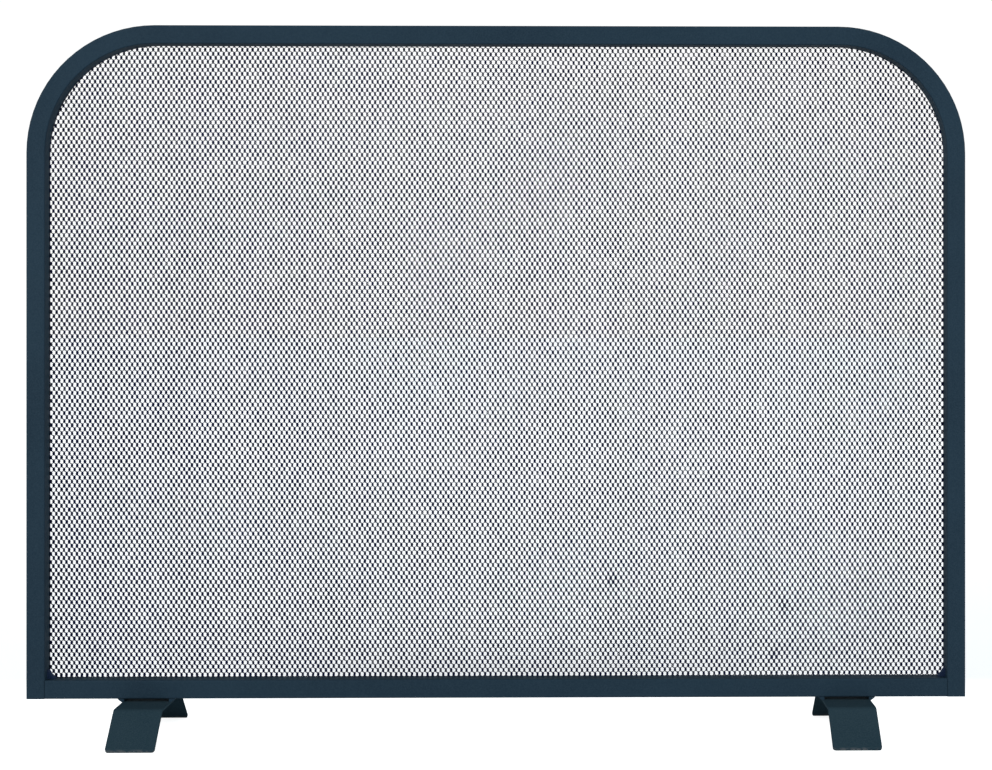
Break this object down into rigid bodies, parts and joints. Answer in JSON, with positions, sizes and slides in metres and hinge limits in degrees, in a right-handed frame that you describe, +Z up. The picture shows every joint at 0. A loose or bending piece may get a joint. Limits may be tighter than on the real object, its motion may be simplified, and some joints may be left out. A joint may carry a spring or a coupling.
{
  "type": "fireplace screen",
  "caption": "Free-standing flat fireplace screen: rounded-top square-tube frame, woven wire mesh, and bent strap feet that carry it upright on a hearth.",
  "frame": {"origin": "on the floor, midway between the two feet and midway along their depth", "axes": "+X along the screen's width, +Y towards the fire (back), +Z up; the viewed front faces -Y"},
  "size_m": [0.965, 0.1686, 0.7295],
  "materials": {
    "frame_coat": "satin-matte dark slate powder coat",
    "foot_coat": "satin-matte dark slate powder coat",
    "mesh_wire": "matte black-blue paint on woven wire",
    "strip_coat": "matte dark paint",
    "screw_black": "black oxide",
    "weld_coat": "powder coat over a weld bead"
  },
  "bodies": {
    "root": {"frame_hoop": "frame_coat", "bottom_rail": "frame_coat", "mesh_panel": "mesh_wire", "retainer_hoop": "strip_coat", "retainer_bottom": "strip_coat", "retainer_screws": "screw_black", "foot_left": "foot_coat", "foot_right": "foot_coat", "foot_welds_left": "weld_coat", "foot_welds_right": "weld_coat", "corner_welds": "weld_coat"}
  },
  "joints": []
}
